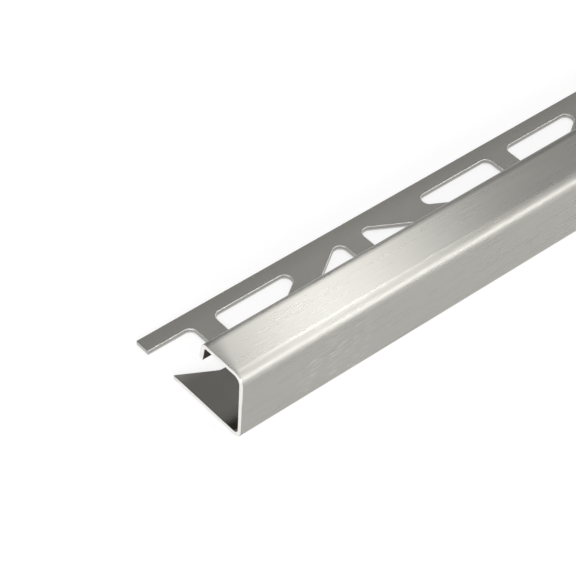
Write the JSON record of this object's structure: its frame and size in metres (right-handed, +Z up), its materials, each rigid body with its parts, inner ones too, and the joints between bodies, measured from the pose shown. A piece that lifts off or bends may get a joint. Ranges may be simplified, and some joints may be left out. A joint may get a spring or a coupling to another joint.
{
  "type": "tile edge trim",
  "caption": "Square stainless tile edge trim: a punched leg for the adhesive bed, an upright wall, and a cap folded back over the leg with a short lip.",
  "frame": {"origin": "middle of the bounding box, on the underside of the leg", "axes": "+X along the trim, away from the sawn end in the picture; +Y from the wall to the leg's free edge; +Z up, from the leg to the cap"},
  "size_m": [1, 0.0234, 0.0125],
  "materials": {
    "brushed_stainless": "fine brushed lines along the cap and wall, plain rolled finish on the leg and inside, bright sawn ends"
  },
  "bodies": {
    "root": {"edge_trim": "brushed_stainless"}
  },
  "joints": []
}
